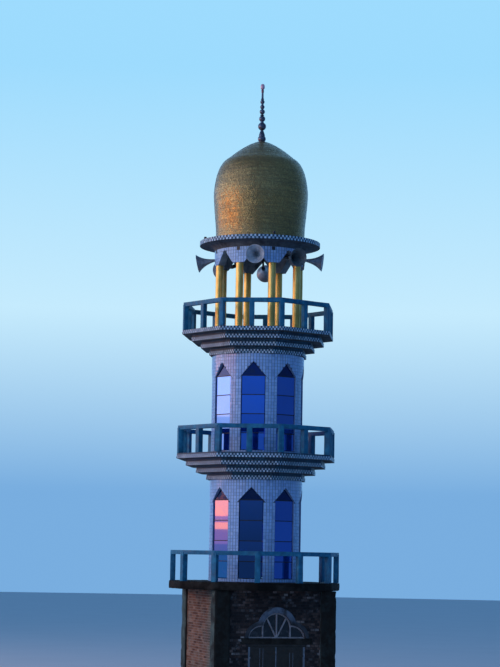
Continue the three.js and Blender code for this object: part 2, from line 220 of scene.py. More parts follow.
streaks = shaderGroup("rainStreaks", {"Scale": 9.0, "Amount": 0.6}, ["Mask"], buildStreaks)
patches = shaderGroup("cloudyPatches", {"Scale": 2.0, "Level": 0.5}, ["Mask"], buildPatches)
smears = shaderGroup("streetSmears", {"Scale": 3.0, "Level": 0.43}, ["Mask"], buildSmears)
grain = shaderGroup("surfaceGrain", {"Fine": 60.0, "Coarse": 7.0}, ["Height", "Value"], buildGrain)
dust = shaderGroup("settledDust", {"Amount": 0.6}, ["Mask"], buildDust)
streetSootAndShade = shaderGroup("streetSootAndShade", {"Amount": 1.0}, ["Mask"], buildStreetSootAndShade)
courses = shaderGroup("levelCourses", {"Scale": 1.0, "Amount": 1.0}, ["Value"], buildCourses)
pieceTint = shaderGroup("pieceTint", {"Scale": 1.0, "Drift": 0.6}, ["Tint"], buildPieceTint)
print("shader groups built")


# Materials
def newMaterial(name, **values):
    material = bpy.data.materials.new(name)
    material.use_nodes = True
    shader = material.node_tree.nodes["Principled BSDF"]
    for key, value in values.items():
        shader.inputs[key.replace("_", " ")].default_value = value
    return material, material.node_tree, shader


def wire(tree, shader, color=None, roughness=None, height=None, depth=0.001, strength=1.0):
    if color is not None:
        tree.links.new(color, shader.inputs["Base Color"])
    if roughness is not None:
        tree.links.new(roughness, shader.inputs["Roughness"])
    if height is not None:
        bump = put(tree, "Bump", {"Height": height, "Distance": depth, "Strength": strength})
        tree.links.new(bump.outputs[0], shader.inputs["Normal"])


def darker(color, share):
    return tuple(value * share for value in color)


def layered(name, base, *layers, tint=None, cast=None, rough=None, bump=None, **values):
    # the base is a colour, or stops over the piece's tint or else the grain
    # each layer is an effect with its inputs, the colour that it brings and at times its share
    # rough is one of the sources with its span and the roughness at both ends
    material, tree, shader = newMaterial(name, **values)
    sources = {}
    if cast:
        sources["height"], sources["grain"] = effect(tree, grain, *cast)
    if tint:
        sources["tint"] = effect(tree, pieceTint, *tint)[0]
    if isinstance(base, list):
        color = ramp(tree, sources["tint" if tint else "grain"], base)
    else:
        color = (*base, 1)
    for group, inputs, over, *share in layers:
        mask = effect(tree, group, *inputs)[0]
        sources.setdefault("mask", mask)
        color = mixColors(tree, times(tree, mask, *share), color, (*over, 1))
    if rough:
        rough = remap(tree, sources[rough[0]], *rough[1:])
    if bump:
        wire(tree, shader, color, rough, sources["height"], *bump)
    else:
        wire(tree, shader, color, rough)
    return material


def jointMortar(name, color):
    return layered(name, [(0.0, darker(color, 0.55)), (1.0, color)], cast=(70.0, 9.0), bump=(0.002, 1.0),
                   Roughness=0.95)


def roughCement(name, low, high, stain, level, depth, *layers):
    return layered(name, [(0.3, low), (0.7, high)], (patches, (1.7, level), stain),
                   (streaks, (6.0, 0.75), darker(stain, 0.55)), *layers, cast=(55.0, 5.0),
                   rough=("grain", 0.3, 0.7, 0.78, 0.98), bump=(depth, 0.8), Specular_IOR_Level=0.2)


def paintedSteel(name, color, worn, roughness=(0.35, 0.6), metallic=0.35, level=0.62):
    return layered(name, [(0.3, darker(color, 0.6)), (0.7, color)], (patches, (9.0, level), worn),
                   (streaks, (16.0, 0.45), darker(worn, 0.5)), cast=(40.0, 8.0),
                   rough=("mask", 0.0, 1.0, *roughness), bump=(0.0012, 0.4), Metallic=metallic)


def buildCheckerTile():  # the shade number says whether a square is pale or dark
    material, tree, shader = newMaterial("checker tile", IOR=1.45)
    paleStops = [(0.0, (0.32, 0.48, 0.64)), (0.6, (0.49, 0.69, 0.90)), (1.0, (0.64, 0.82, 0.97))]
    darkStops = [(0.0, (0.008, 0.036, 0.075)), (0.7, (0.016, 0.082, 0.16)), (1.0, (0.024, 0.12, 0.19))]
    tint = effect(tree, pieceTint, 1.5, 0.8)[0]
    shade = put(tree, "Attribute", attribute_name="shade").outputs["Fac"]
    clean = mixColors(tree, shade, ramp(tree, tint, darkStops), ramp(tree, tint, paleStops))
    runs = effect(tree, streaks, 5.0, 0.55)[0]
    color = mixColors(tree, runs, clean, (0.06, 0.065, 0.07, 1))
    wire(tree, shader, color, remap(tree, runs, 0.0, 0.7, 0.45, 0.75))
    return material


def buildArchPlaster():  # sooty, with the washed blue left on the middle arch only
    material, tree, shader = newMaterial("arch plaster", Specular_IOR_Level=0.2)
    height, value = effect(tree, grain, 55.0, 6.0)
    dark = ramp(tree, value, [(0.3, (0.022, 0.024, 0.027)), (0.7, (0.06, 0.066, 0.075))])
    blue = ramp(tree, value, [(0.3, (0.06, 0.085, 0.12)), (0.7, (0.16, 0.20, 0.26))])
    level = remap(tree, along(tree, objectPlace(tree), "Z"), 2.66, 2.8, 0.1, 1.0)
    color = mixColors(tree, times(tree, level, effect(tree, patches, 4.0, 0.44)[0]), dark, blue)
    wire(tree, shader, color, remap(tree, value, 0.3, 0.7, 0.8, 0.98), height, 0.004, 0.8)
    return material


def buildLampGlass():  # pink above a red foot
    material, tree, shader = newMaterial("lamp glass", Roughness=0.18, Coat_Weight=0.8)
    level = remap(tree, along(tree, objectPlace(tree), "Z"), 18.235, 18.27, 0.0, 1.0)
    value = effect(tree, grain, 60.0, 18.0)[1]
    red = ramp(tree, value, [(0.3, (0.16, 0.015, 0.05)), (0.7, (0.30, 0.04, 0.08))])
    pink = ramp(tree, value, [(0.3, (0.66, 0.34, 0.46)), (0.7, (0.85, 0.55, 0.66))])
    wire(tree, shader, mixColors(tree, level, red, pink))
    return material


wallTile = layered(
    "wall tile", [(0.0, (0.275, 0.46, 0.81)), (0.3, (0.345, 0.57, 0.95)), (0.7, (0.375, 0.61, 0.99)),
                  (1.0, (0.425, 0.6412, 0.9908))],
    (streaks, (7.0, 0.4), (0.16, 0.19, 0.32)),
    tint=(0.9, 0.7), cast=(18.0, 5.0), rough=("mask", 0.0, 0.6, 0.16, 0.42), bump=(0.0016, 0.35), IOR=1.5)
goldChip = layered(
    "gold chip", [(0.0, (0.27, 0.16, 0.045)), (0.35, (0.38, 0.24, 0.07)), (0.65, (0.46, 0.30, 0.09)),
                  (0.9, (0.55, 0.37, 0.12)), (1.0, (0.66, 0.46, 0.17))],
    (courses, (1.0, 0.65), (0.20, 0.14, 0.05)),
    tint=(0.8, 0.5), rough=("tint", 0.0, 1.0, 0.44, 0.26),
    IOR=1.55, Metallic=0.55, Coat_Weight=0.55, Coat_Roughness=0.32)
columnGold = layered(
    "column gold", [(0.25, (0.72, 0.44, 0.11)), (0.5, (0.86, 0.56, 0.16)), (0.75, (0.93, 0.64, 0.21))],
    (streaks, (14.0, 0.6), (0.13, 0.09, 0.04)),
    cast=(30.0, 4.0), rough=("mask", 0.0, 0.6, 0.34, 0.56), bump=(0.001, 0.25),
    IOR=1.5, Metallic=0.8, Coat_Weight=0.1, Coat_Roughness=0.3)
tealPaint = layered(
    "teal paint", [(0.3, (0.007, 0.112, 0.21)), (0.55, (0.013, 0.172, 0.32)), (0.75, (0.030, 0.26, 0.43))],
    (patches, (7.0, 0.69), (0.11, 0.20, 0.26)),
    (streaks, (12.0, 0.5), (0.015, 0.03, 0.05)),
    (dust, (0.4,), (0.20, 0.24, 0.27)),
    cast=(45.0, 6.0), rough=("grain", 0.3, 0.7, 0.42, 0.68), bump=(0.003, 0.5), IOR=1.4)
brickFinish = {"cast": (70.0, 12.0), "rough": ("grain", 0.3, 0.7, 0.8, 1.0), "bump": (0.004, 0.9),
               "Specular_IOR_Level": 0.2}
brick = layered(
    "brick", [(0.0, (0.085, 0.038, 0.024)), (0.3, (0.16, 0.072, 0.044)), (0.6, (0.21, 0.10, 0.062)),
              (0.85, (0.25, 0.135, 0.088)), (1.0, (0.30, 0.19, 0.14))],
    (patches, (2.6, 0.60), (0.20, 0.195, 0.165), 0.6),
    (smears, (3.0, 0.43), (0.10, 0.125, 0.108)),
    (patches, (1.1, 0.56), (0.045, 0.038, 0.036), 0.5),
    tint=(1.4, 0.5), **brickFinish)
sootAndShadeBrick = layered(  # the street side is nearly black, with soot and painted shade
    "soot and shade brick", [(0.0, (0.018, 0.016, 0.017)), (0.4, (0.055, 0.036, 0.032)), (0.65, (0.105, 0.068, 0.056)),
                   (0.85, (0.17, 0.12, 0.105)), (1.0, (0.27, 0.24, 0.23))],
    (patches, (1.3, 0.50), (0.014, 0.014, 0.017), 0.75),
    (patches, (3.4, 0.66), (0.17, 0.19, 0.21), 0.7),
    tint=(1.2, 0.6), **brickFinish)
checkerTile = buildCheckerTile()
archPlaster = buildArchPlaster()
lampGlass = buildLampGlass()
tileGrout = jointMortar("tile joint", (0.09, 0.12, 0.22))
levelGrout = jointMortar("level tile joint", (0.30, 0.43, 0.72))
checkerGrout = jointMortar("checker joint", (0.05, 0.06, 0.07))
goldGrout = jointMortar("gold joint", (0.14, 0.10, 0.045))
mortar = jointMortar("mortar", (0.34, 0.28, 0.24))
# the front's mortar is darkened the same way: soot and painted shade
sootAndShadeMortar = jointMortar("soot and shade mortar", (0.030, 0.030, 0.034))
windowPane = layered(  # blue mirror glass
    "window pane", [(0.0, (0.05, 0.17, 0.72)), (0.5, (0.06, 0.20, 0.84)), (1.0, (0.07, 0.23, 0.92))],
    (patches, (3.0, 0.62), (0.12, 0.16, 0.35), 0.10),
    tint=(0.7, 0.5), rough=("mask", 0.0, 1.0, 0.03, 0.12), Metallic=1.0, Coat_Weight=1.0, Coat_Roughness=0.02)
headPanel = layered(  # dull mirror sheet in the pointed heads
    "head panel", (0.024, 0.045, 0.17), (patches, (5.0, 0.55), (0.035, 0.05, 0.075), 0.4),
    rough=("mask", 0.0, 1.0, 0.04, 0.16), Metallic=0.85)
darkGlass = layered(  # plain glass before an unlit room
    "dark glass", (0.012, 0.014, 0.02), (patches, (6.0, 0.55), (0.06, 0.065, 0.08), 0.4),
    rough=("mask", 0.0, 1.0, 0.08, 0.3), IOR=1.5)
soffitCement = roughCement("soffit cement", (0.05, 0.06, 0.065), (0.11, 0.12, 0.125),
                           (0.03, 0.035, 0.04), 0.56, 0.004)
slabCement = roughCement("slab cement", (0.07, 0.085, 0.10), (0.13, 0.155, 0.18),
                         (0.045, 0.05, 0.06), 0.60, 0.004)
darkCement = roughCement("dark cement", (0.011, 0.0105, 0.009), (0.038, 0.035, 0.031),
                         (0.006, 0.0055, 0.005), 0.48, 0.006)
sootyCement = roughCement("sooty cement", (0.024, 0.022, 0.019), (0.048, 0.044, 0.038),
                          (0.015, 0.0135, 0.0115), 0.48, 0.006)
# the pillars' street side is darkened: soot and painted shade
greyCement = roughCement("grey cement", (0.037, 0.062, 0.060), (0.098, 0.148, 0.140),
                         (0.024, 0.028, 0.026), 0.56, 0.005, (streetSootAndShade, (1.0,), (0.0155, 0.0135, 0.0115)))
innerPlaster = roughCement("inner plaster", (0.21, 0.25, 0.28), (0.36, 0.42, 0.46),
                           (0.09, 0.11, 0.13), 0.60, 0.004)
doorSheet = paintedSteel("door sheet", (0.040, 0.033, 0.027), (0.045, 0.03, 0.022))
paleSteel = paintedSteel("pale steel", (0.42, 0.36, 0.37), (0.14, 0.11, 0.10))
jambSteel = paintedSteel("jamb steel", (0.24, 0.26, 0.31), (0.10, 0.08, 0.07))
windowSteel = paintedSteel("window steel", (0.035, 0.035, 0.05), (0.08, 0.06, 0.06))
hornPaint = paintedSteel("horn paint", (0.36, 0.42, 0.50), (0.16, 0.15, 0.15), (0.3, 0.5), 0.1, 0.70)
# the lip and the inside are paler copies of the horn paint: painted light on the lit rim and inner side
hornLipPaintedLight = paintedSteel("horn lip painted light", (0.74, 0.78, 0.84), (0.24, 0.22, 0.22), (0.3, 0.5), 0.1, 0.76)
hornInsidePaintedLight = paintedSteel("horn inside painted light", (0.60, 0.66, 0.74), (0.24, 0.23, 0.23), (0.35, 0.55), 0.1, 0.72)
# a darker copy of the horn paint for the horn that lies in shade: painted shade
paintedShadeHorn = paintedSteel("paintedShade horn", (0.17, 0.20, 0.22), (0.08, 0.07, 0.06), (0.4, 0.6), 0.1)
hornDark = paintedSteel("horn driver", (0.04, 0.045, 0.055), (0.07, 0.045, 0.035), metallic=0.2)
finialMetal = paintedSteel("finial metal", (0.17, 0.18, 0.25), (0.04, 0.04, 0.05), (0.2, 0.42), 0.75)
print("materials built")


# Small helpers for meshes
def freshMesh(*layers):
    bm = bmesh.new()
    for layer in ("tint",) + layers:
        bm.faces.layers.float.new(layer)
    return bm


def copyNode(name):  # a solid as one closed mesh with whole flat faces
    bm = freshMesh()
    bm.from_mesh(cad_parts[name].data)
    bmesh.ops.remove_doubles(bm, verts=bm.verts, dist=0.00005)
    bmesh.ops.dissolve_limit(bm, angle_limit=math.radians(1), verts=bm.verts, edges=bm.edges)
    for face in bm.faces:
        face.material_index = 0
    return bm


def meshFrom(name, bm):
    mesh = bpy.data.meshes.new(name)
    bm.to_mesh(mesh)
    bm.free()
    return mesh


def finishPiece(name, bm, materials, body="tower", replaced=(), smoothAngle=None):
    mesh = meshFrom(name, bm)
    for material in materials:
        mesh.materials.append(material)
    if smoothAngle:
        mesh.shade_smooth()
        mesh.set_sharp_from_angle(angle=math.radians(smoothAngle))
    piece = addObject(name, mesh)
    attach(piece, body)
    if replaced:
        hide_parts(*replaced)


def vertsIn(geom):
    return [item for item in geom if isinstance(item, bmesh.types.BMVert)]


def facesOn(verts):
    return list({face for vert in verts for face in vert.link_faces})


def facesWithin(bm, left, right, low, high):  # by where their middles lie in X and Z
    found = []
    for face in bm.faces:
        spot = face.calc_center_median()
        if left < spot.x < right and low < spot.z < high:
            found.append(face)
    return found


def dropFaces(bm, faces):
    bmesh.ops.delete(bm, geom=faces, context="FACES")


def sharpEdges(bm, angle):
    limit = math.radians(angle)
    return [edge for edge in bm.edges if len(edge.link_faces) == 2 and edge.calc_face_angle() > limit]


def bevelSharp(bm, width, angle, segments=1):
    bmesh.ops.bevel(bm, geom=sharpEdges(bm, angle), offset=width, affect="EDGES", segments=segments,
                    profile=0.5, material=-1, clamp_overlap=True)


def cutFaces(bm, faces, point, normal):  # cuts only these faces
    geom = list({item for face in faces for item in [face, *face.edges, *face.verts]})
    if geom:
        bmesh.ops.bisect_plane(bm, geom=geom, dist=0.00001, plane_co=point, plane_no=normal)


def cutThrough(bm, point, normal, snap=0.00001, trim=False):  # trim drops what lies beyond the cut
    geom = bm.verts[:] + bm.edges[:] + bm.faces[:]
    bmesh.ops.bisect_plane(bm, geom=geom, dist=snap, plane_co=point, plane_no=normal, clear_outer=trim)


def cutGrid(bm, step):  # cuts a whole mesh into cells no larger than the step
    for axis in range(3):
        places = [vert.co[axis] for vert in bm.verts]
        low, high = min(places), max(places)
        count = math.ceil((high - low) / step)
        normal = Vector([float(axis == i) for i in range(3)])
        for i in range(1, count):
            cutThrough(bm, normal * (low + (high - low) * i / count), normal)


def roughen(bm, size, amount, chip=0.0):  # hand-laid unevenness, and edges broken off here and there
    bm.normal_update()
    worn = {vert for edge in sharpEdges(bm, 20) for vert in edge.verts}
    for vert in bm.verts:
        move = amount * noise.noise(vert.co / size)
        if chip and vert in worn:
            move -= chip * max(0.0, noise.noise(vert.co * 5.0 + Vector((7, 3, 5)))) ** 1.5 * 2
        vert.co += vert.normal * move


def drawOut(bm, faces, depth):  # gives faces a thickness along Y, and returns the new corners
    verts = vertsIn(bmesh.ops.extrude_face_region(bm, geom=faces, use_keep_orig=True)["geom"])
    bmesh.ops.translate(bm, verts=verts, vec=(0, depth, 0))
    return verts


def spinProfile(bm, points, steps, place=None, material=0):  # turns a line of [radius, height] points about Z
    verts = [bm.verts.new((radius, 0, height)) for radius, height in points]
    edges = [bm.edges.new(pair) for pair in zip(verts, verts[1:])]
    made = bmesh.ops.spin(bm, geom=verts + edges, cent=(0, 0, 0), axis=up, angle=circle, steps=steps,
                          use_merge=True)
    reached = set()
    waiting = vertsIn(made["geom_last"])
    while waiting:
        vert = waiting.pop()
        if vert not in reached:
            reached.add(vert)
            waiting += [edge.other_vert(vert) for edge in vert.link_edges]
    bmesh.ops.remove_doubles(bm, verts=list(reached), dist=0.00002)
    turned = [vert for vert in reached if vert.is_valid]
    faces = facesOn(turned)
    bmesh.ops.recalc_face_normals(bm, faces=faces)
    for face in faces:
        face.material_index = material
    if place is not None:
        bmesh.ops.transform(bm, matrix=place, verts=turned)
    return faces


def addBlock(bm, low, high, place=None, bevel=0.0, material=0):
    low, high = Vector(low), Vector(high)
    matrix = Matrix.Translation((low + high) / 2) @ Matrix.Diagonal((*(high - low), 1))
    if place is not None:
        matrix = place @ matrix
    faces = facesOn(bmesh.ops.create_cube(bm, size=1, matrix=matrix)["verts"])
    for face in faces:
        face.material_index = material
    if bevel:
        edges = list({edge for face in faces for edge in face.edges})
        bmesh.ops.bevel(bm, geom=edges, offset=bevel, affect="EDGES", segments=1, profile=0.5, material=-1)
    return faces


def gridOn(bm, corner, across, rise, columns, rows):  # flat cells from a corner along two edges
    turn = Matrix((across, rise, across.cross(rise).normalized())).transposed().to_4x4()
    place = Matrix.Translation(corner + (across + rise) / 2) @ turn
    made = bmesh.ops.create_grid(bm, x_segments=columns, y_segments=rows, size=0.5, matrix=place)
    faces = facesOn(made["verts"])
    faces.sort(key=lambda face: tuple(round(value, 4) for value in face.calc_center_median()))
    tint = bm.faces.layers.float["tint"]
    for face in faces:
        face[tint] = dice.random()
    return faces


def bendRound(bm, radius):  # wraps a sheet that lies along X round the Z axis, and welds its ends
    for vert in bm.verts:
        vert.co = onCircle(radius, vert.co.x / radius, vert.co.z)
    bmesh.ops.remove_doubles(bm, verts=bm.verts, dist=0.0001)
    bm.normal_update()


def insetEach(bm, faces, width, depth=0.0):
    made = bmesh.ops.inset_individual(bm, faces=faces, thickness=width, depth=depth, use_even_offset=True)
    return made["faces"]


def layTiles(bm, thickness, joint, relief, smallest=0.0006, edge=0.0015):
    # the sheet gets its thickness behind, then each cell a sunk joint and a raised tile
    bmesh.ops.dissolve_degenerate(bm, edges=bm.edges, dist=0.004)  # no edge stays under 4 mm
    cells = [face for face in bm.faces if face.calc_area() > max(smallest, face.calc_perimeter() * joint)]
    slivers = set(bm.faces) - set(cells)
    bmesh.ops.solidify(bm, geom=bm.faces[:], thickness=thickness)
    for face in [*insetEach(bm, cells, joint / 2), *slivers]:
        face.material_index = 1
    insetEach(bm, cells, edge, relief)
    return cells


def layChips(bm, thickness, joint, relief):  # the same with one sloping joint, for the smallest pieces
    cells = bm.faces[:]
    bmesh.ops.solidify(bm, geom=cells, thickness=thickness)
    for face in insetEach(bm, cells, joint / 2, relief):
        face.material_index = 1
    return cells


def leanFaces(faces, amount):  # each piece lies a little out of line with its neighbours
    for face in faces:
        middle = face.calc_center_median()
        normal = face.normal.copy()
        lean = Vector([dice.uniform(-amount, amount) for _ in range(3)])
        for vert in face.verts:
            vert.co += normal * lean.dot(vert.co - middle)


# Wall tiles round the shaft and the ring beam
shaft = {"radius": 1.335, "columns": 96, "tileHeight": 0.0935}
tiling = {"proud": 0.001, "joint": 0.01, "relief": 0.003, "skin": 0.004, "lean": 0.003}
windows = {
    "count": 8,
    "half": 0.345,
    "sill": 0.09,
    "slack": 0.001,
    "frame": 0.024,
    "frameDepth": 0.05,
    "frameBevel": 0.003,
    "setback": 0.018,
    "bars": 4,
    "transom": 0.024,
    "barDepth": (0.006, 0.044),
    "pane": 0.006,
    "paneDepth": 0.022,
    "lap": (0.003, 0.004),  # how far panes reach behind the frame's sides and the bars
    "lean": 0.005,
    "headDepth": 0.016,
    "headSheet": 0.012,
    "headDrop": 0.0288,
}
storeys = {
    "lower": {"floor": 3.81, "shoulder": 6.115, "apex": 6.48, "top": 6.70, "panel": 0.576},
    "upper": {"floor": 7.43, "shoulder": 9.65, "apex": 10.05, "top": 10.284, "panel": 0.545},
}
inner, bar = windows["half"] - windows["frame"], windows["transom"] / 2
ring = {"radius": 1.315, "low": 12.91, "high": 13.37, "apex": 13.31, "half": 0.3283, "rows": 5}


def cutOpening(bm, middle, half, opening, cell):
    sill, shoulder, apex = (opening[key] for key in ("sill", "shoulder", "apex"))
    for side in (-1, 1):
        left, right = sorted((middle, middle + side * (half + cell / 2)))
        faces = facesWithin(bm, left, right, shoulder - cell, apex + cell)
        cutFaces(bm, faces, (middle + side * half, 0, shoulder), (side * (apex - shoulder), 0, half))
    if sill < shoulder:
        faces = facesWithin(bm, middle - half, middle + half, sill - cell, sill + cell)
        cutFaces(bm, faces, (middle, 0, sill), up)
    gone = []
    for face in facesWithin(bm, middle - half, middle + half, sill, apex):
        spot = face.calc_center_median()
        if spot.z - shoulder < (apex - shoulder) * (1 - abs(spot.x - middle) / half):
            gone.append(face)
    dropFaces(bm, gone)


def tileSheet(name, radius, low, high, rows, opening):
    outside = radius + tiling["proud"]
    pitch = circle * outside / shaft["columns"]
    bm = freshMesh()
    width = Vector((circle * outside, 0, 0))
    gridOn(bm, Vector((0, 0, low)), width, up * (high - low), shaft["columns"], rows)
    half = opening["half"]
    if opening["sill"] < opening["shoulder"]:  # upright sides follow a joint
        half = round(half / pitch) * pitch
    for i in range(windows["count"]):
        middle = (i + 0.5) * circle * outside / windows["count"]
        cutOpening(bm, middle, half, opening, (high - low) / rows)
    bendRound(bm, outside)
    leanFaces(layTiles(bm, tiling["skin"], tiling["joint"], tiling["relief"]), tiling["lean"])
    for face in bm.faces:  # the level joints are paler than the upright ones
        spans = [edge.verts[0].co - edge.verts[1].co for edge in face.edges]
        longest = max(spans, key=lambda span: span.length)
        if face.material_index == 1 and abs(longest.z) < longest.length / 2:
            face.material_index = 2
    finishPiece(name, bm, [wallTile, tileGrout, levelGrout])


for name, storey in storeys.items():
    rows = round((storey["top"] - storey["floor"]) / shaft["tileHeight"])
    opening = {"half": windows["half"], "sill": storey["floor"] + windows["sill"], **storey}
    tileSheet(f"{name}_wall_tiles", shaft["radius"], storey["floor"], storey["top"], rows, opening)
ringOpening = {"half": ring["half"], "sill": ring["low"], "shoulder": ring["low"], "apex": ring["apex"]}
tileSheet("ring_beam_tiles", ring["radius"], ring["low"], ring["high"], ring["rows"], ringOpening)
print("wall tiles laid")


# Window frames with their bars, panes and head panels
def flatFace(bm, corners, depth):
    return bm.faces.new([bm.verts.new((x, depth, z)) for x, z in corners])


def addFrame(frames, storey, front, levels, turn):
    bm = freshMesh()
    slack, shoulder = windows["slack"], storey["shoulder"]
    half, sill = windows["half"] - slack, storey["floor"] + windows["sill"] + slack
    corners = [(-half, sill), (half, sill), (half, shoulder), (0, storey["apex"] - slack), (-half, shoulder)]
    outline = flatFace(bm, corners, front)
    rim = bmesh.ops.inset_region(bm, faces=[outline], thickness=windows["frame"], use_even_offset=True)
    dropFaces(bm, [outline])
    drawOut(bm, rim["faces"], windows["frameDepth"])
    end = inner + windows["lap"][1]
    near, far = (front + depth for depth in windows["barDepth"])
    for level in levels:
        addBlock(bm, (-end, near, level - bar), (end, far, level + bar))
    bmesh.ops.recalc_face_normals(bm, faces=bm.faces)
    bevelSharp(bm, windows["frameBevel"], 25)
    bmesh.ops.transform(bm, matrix=turn, verts=bm.verts)
    mesh = meshFrom("part", bm)
    frames.from_mesh(mesh)
    bpy.data.meshes.remove(mesh)


def addPanes(panes, storey, front, levels, turn):
    tint = panes.faces.layers.float["tint"]
    aside, rise = windows["lap"]
    sill = storey["floor"] + windows["sill"] + windows["frame"]
    for top, low in zip(levels, levels[1:] + [sill - bar]):
        lean = aroundZ(dice.uniform(-1, 1) * windows["lean"])
        lean = lean @ aroundX(dice.uniform(-1, 1) * windows["lean"])
        middle = Matrix.Translation((0, front + windows["paneDepth"], (top + low) / 2))
        size = Vector((inner + aside, windows["pane"] / 2, (top - low) / 2 - bar + rise))
        shade = dice.random()
        for face in addBlock(panes, -size, size, turn @ middle @ lean):
            face[tint] = shade


def addHead(heads, storey, front, level, turn):
    half = inner + windows["lap"][1]
    corners = [(-half, level + bar), (half, level + bar), (0, storey["apex"] - windows["headDrop"])]
    face = flatFace(heads, corners, front + windows["headDepth"])
    moved = drawOut(heads, [face], windows["headSheet"])
    bmesh.ops.transform(heads, matrix=turn, verts=moved + list(face.verts))


def buildWindows(name, storey):
    frames, panes, heads = freshMesh(), freshMesh(), freshMesh()
    outside = shaft["radius"] * math.cos(math.asin(windows["half"] / shaft["radius"]))
    front = windows["setback"] - outside
    levels = [storey["shoulder"] - i * storey["panel"] for i in range(windows["bars"])]
    for i in range(windows["count"]):
        turn = aroundZ((i + 0.5) * circle / windows["count"])
        addFrame(frames, storey, front, levels, turn)
        addPanes(panes, storey, front, levels, turn)
        addHead(heads, storey, front, levels[0], turn)
    bmesh.ops.recalc_face_normals(heads, faces=heads.faces)
    finishPiece(f"{name}_window_frames", frames, [windowSteel])
    finishPiece(f"{name}_window_panes", panes, [windowPane], replaced=[f"{name}_window_glass"])
    finishPiece(f"{name}_window_heads", heads, [headPanel])


for name, storey in storeys.items():
    buildWindows(name, storey)
print("windows built")


# Checker tiles on the stepped balconies and the rim of the dome slab
checker = {"square": 0.048, "joint": 0.003, "relief": 0.0014, "skin": 0.003, "proud": 0.0015}
balconies = {
    "lower": {"radii": [1.495, 1.805, 2.11, 2.39], "foot": 6.70, "step": 0.194, "floor": 7.43},
    "upper": {"radii": [1.475, 1.73, 2.013, 2.295], "foot": 10.284, "step": 0.192, "floor": 10.975},
}
# the risers' pale squares are dimmed almost to the dark ones: painted shade under each tier's overhang
tier = {"sides": 8, "band": 0.108, "gap": 0.001, "depth": 0.02, "riserPaintedShade": 0.05, "riserSquare": 0.04}
slab = {"radius": 1.757, "low": 13.52, "high": 13.645, "sides": 64, "square": 0.057}


def checkerStrip(bm, radius, sides, low, high, square=checker["square"], palest=1.0):
    # squares in two shades on each side of a ring; the radius is to its corners
    outer = radius + checker["proud"] / math.cos(math.pi / sides)
    length = 2 * outer * math.sin(math.pi / sides)
    columns = max(1, round(length / square))
    rows = max(1, round((high - low) / square))
    shade = bm.faces.layers.float["shade"]
    for side in range(sides):
        start, end = (onCircle(outer, (side + i) * circle / sides, low) for i in (0, 1))
        across = end - start
        for face in gridOn(bm, start, across, up * (high - low), columns, rows):
            spot = face.calc_center_median() - start
            column = int(spot.dot(across) / across.length_squared * columns) + side * columns
            row = int(spot.z / (high - low) * rows)
            face[shade] = palest * ((column + row) % 2)


def finishChecker(name, bm):
    bmesh.ops.remove_doubles(bm, verts=bm.verts, dist=0.0002)
    layChips(bm, checker["skin"], checker["joint"], checker["relief"])
    finishPiece(name, bm, [checkerTile, checkerGrout])


for name, balcony in balconies.items():
    bm = freshMesh("shade")
    for i, radius in enumerate(balcony["radii"]):
        low = balcony["foot"] + i * balcony["step"]
        middle = low + tier["band"]
        top = balcony["floor"] if radius == balcony["radii"][-1] else low + balcony["step"]
        checkerStrip(bm, radius, tier["sides"], low, middle)
        # each riser strip is dimmed: painted shade
        checkerStrip(bm, radius - tier["depth"], tier["sides"], middle + tier["gap"], top,
                     tier["riserSquare"], tier["riserPaintedShade"])
    finishChecker(f"{name}_balcony_tiles", bm)
bm = freshMesh("shade")
checkerStrip(bm, slab["radius"], slab["sides"], slab["low"], slab["high"], slab["square"])
finishChecker("slab_rim_tiles", bm)
print("checker tiles laid")


# Dome of broken gold tile
dome = {
    "foot": 13.645,
    "outline": [(1.30, 0), (1.298, 0.37), (1.345, 0.90), (1.378, 1.38), (1.352, 1.72), (1.27, 2.08),
                (1.13, 2.35), (0.93, 2.52), (0.64, 2.745), (0.345, 2.925), (0.13, 3.015)],
    "crown": 3.019,
    "footLatitude": -37.5,
    "fineness": 6,
    "jitter": 0.32,
    "single": 0.06,  # how often a triangle looks for no partner
    "joint": 0.0045,
    "relief": 0.002,
    "wall": 0.05,
    "lean": 0.06,
}


def splineThrough(points, steps):  # a smooth line through given points
    line = []
    for i in range(len(points) - 1):
        a, b, c, d = (Vector(points[min(max(i + k, 0), len(points) - 1)]) for k in (-1, 0, 1, 2))
        for step in range(steps):
            t = step / steps
            line.append(0.5 * (2 * b + (c - a) * t + (2 * a - 5 * b + 4 * c - d) * t ** 2
                               + (3 * b - a - 3 * c + d) * t ** 3))
    line.append(Vector(points[-1]))
    return line


def domeByArea():  # points of the outline from the crown down, each with its share of the dome's surface
    line = [Vector((0, dome["crown"]))] + splineThrough(dome["outline"], 16)[::-1]
    areas = [0.0]
    for a, b in zip(line, line[1:]):
        areas.append(areas[-1] + (a.x + b.x) / 2 * (b - a).length)
    return line, [area / areas[-1] for area in areas]


def pairTriangles(bm):  # joins triangles two by two into irregular four-sided chips
    used, inner = set(), []
    faces = bm.faces[:]
    dice.shuffle(faces)
    for face in faces:
        if face in used:
            continue
        edges = [edge for edge in face.edges if len(edge.link_faces) == 2
                 and not any(other in used for other in edge.link_faces)]
        if edges and dice.random() > dome["single"]:
            edge = dice.choice(edges)
            used.update(edge.link_faces)
            inner.append(edge)
    bmesh.ops.dissolve_edges(bm, edges=inner, use_verts=False)


